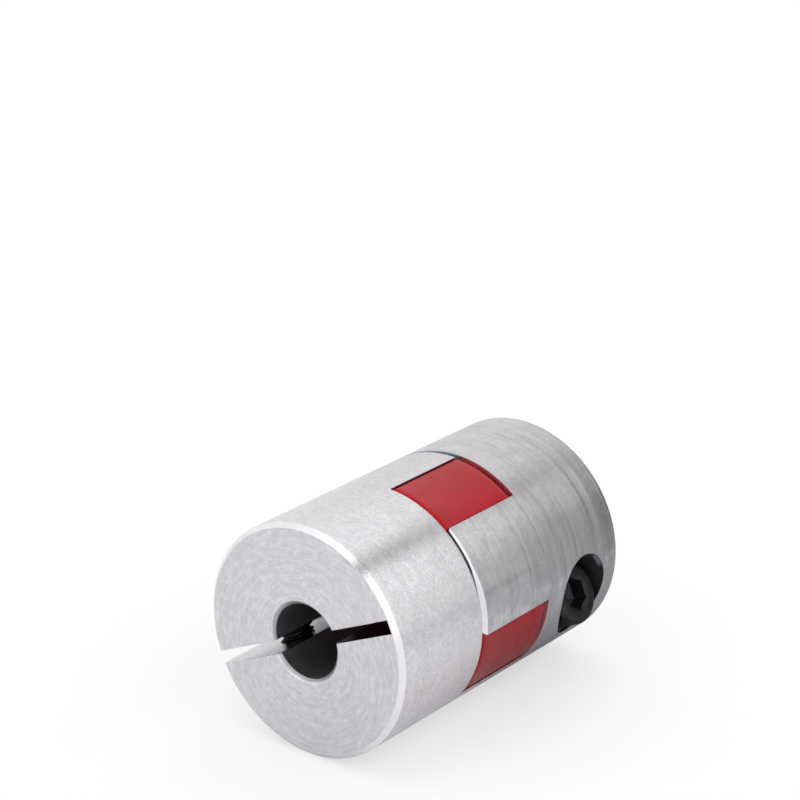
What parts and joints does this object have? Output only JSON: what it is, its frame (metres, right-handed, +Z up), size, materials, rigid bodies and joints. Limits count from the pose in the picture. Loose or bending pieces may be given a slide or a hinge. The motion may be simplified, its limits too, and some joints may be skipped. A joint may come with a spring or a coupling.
{
  "type": "jaw coupling",
  "caption": "Clamping jaw coupling: two slit aluminium hubs with interleaved jaws around a red elastomer spider, joining two shafts end to end.",
  "frame": {"origin": "on the shaft axis at the middle of the coupling's length", "axes": "+X along the shaft axis from the drive hub to the driven hub, +Z up, with the coupling lying on its side and turned 24.28 degrees about its axis"},
  "size_m": [0.03, 0.0207, 0.02],
  "materials": {
    "drive_hub_aluminium": "satin",
    "driven_hub_aluminium": "satin",
    "spider_elastomer": "satin",
    "screw_steel": "satin"
  },
  "bodies": {
    "drive_hub": {"drive_hub": "drive_hub_aluminium"},
    "spider": {"spider": "spider_elastomer"},
    "driven_hub": {"driven_hub": "driven_hub_aluminium"},
    "drive_clamp_screw": {"drive_clamp_screw": "screw_steel"},
    "driven_clamp_screw": {"driven_clamp_screw": "screw_steel"}
  },
  "joints": [
    {"name": "torsional_play", "type": "hinge", "parent": "drive_hub", "child": "spider", "pos_m": [0, 0, 0], "axis": [1, 0, 0], "range_deg": [-0.5, 0.5]},
    {"name": "pull_apart", "type": "slide", "parent": "spider", "child": "driven_hub", "axis": [1, 0, 0], "range_m": [-0.00015, 0.012]},
    {"name": "drive_screw_travel", "type": "slide", "parent": "drive_hub", "child": "drive_clamp_screw", "axis": [0, 0.4112, 0.9115], "range_m": [-0.00018, 0.0049]},
    {"name": "driven_screw_travel", "type": "slide", "parent": "driven_hub", "child": "driven_clamp_screw", "axis": [0, -0.9115, 0.4112], "range_m": [-0.00018, 0.0049]}
  ]
}
